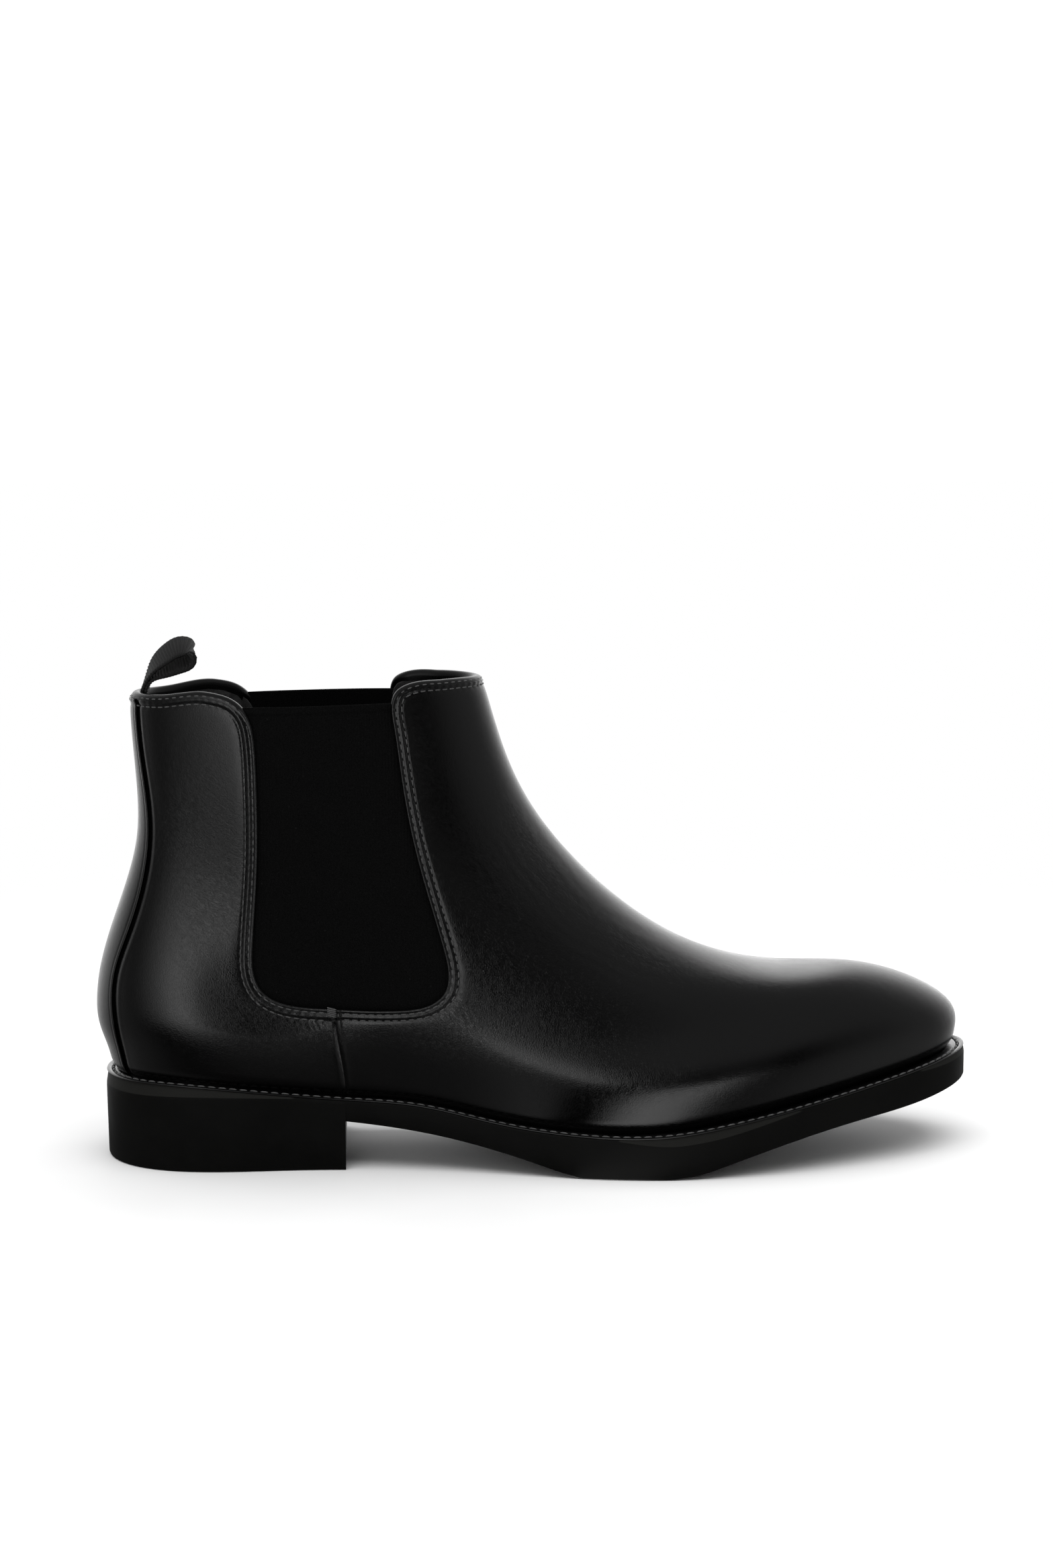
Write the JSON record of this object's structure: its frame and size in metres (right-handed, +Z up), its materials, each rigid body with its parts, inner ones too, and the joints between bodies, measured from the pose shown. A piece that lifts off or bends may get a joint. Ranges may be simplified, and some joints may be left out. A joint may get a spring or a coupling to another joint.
{
  "type": "chelsea boot",
  "caption": "Ankle-high chelsea boot with elastic side gores, back pull loop, stitched welt and moulded sole with a low heel; right foot.",
  "frame": {"origin": "middle of the bounding box's base, on the ground under the boot", "axes": "+X to the toe, +Y to the inner (medial) side, +Z up"},
  "size_m": [0.3068, 0.1028, 0.1827],
  "materials": {
    "upper_leather": "smooth black calf leather, semi-gloss, fine grain",
    "binding": "thin black leather, folded edge, satin",
    "elastic": "matt black ribbed elastic webbing",
    "lining": "matt black lining",
    "webbing": "black grosgrain tape",
    "sole_rubber": "satin dark grey-black moulded rubber",
    "welt_leather": "glossy black welt strip",
    "filler": "ground cork and latex",
    "board": "leather board",
    "stiffener": "resin-stiffened cloth",
    "steel": "bare steel"
  },
  "bodies": {
    "boot": {"unit_sole": "sole_rubber", "welt": "welt_leather", "bottom_filler": "filler", "shank": "steel", "shank_rivet_rear": "steel", "shank_rivet_front": "steel", "insole_board": "board", "heel_nail_1": "steel", "heel_nail_2": "steel", "heel_nail_3": "steel", "heel_nail_4": "steel", "heel_nail_5": "steel", "footbed": "lining", "heel_pad": "lining", "heel_counter": "stiffener", "toe_puff": "stiffener", "vamp": "upper_leather", "vamp_lining": "lining", "backstay": "upper_leather", "heel_grip": "lining", "lateral_quarter": "upper_leather", "lateral_gore": "elastic", "lateral_quarter_lining": "lining", "medial_quarter": "upper_leather", "medial_gore": "elastic", "medial_quarter_lining": "lining", "front_collar_binding": "binding", "rear_collar_binding": "binding", "pull_loop_ends": "webbing"},
    "loop": {"pull_loop": "webbing"}
  },
  "joints": [
    {"name": "pull_loop_fold", "type": "hinge", "parent": "boot", "child": "loop", "pos_m": [-0.1371, 0.0008, 0.1652], "axis": [0, 1, 0], "range_deg": [-100, 50]}
  ]
}
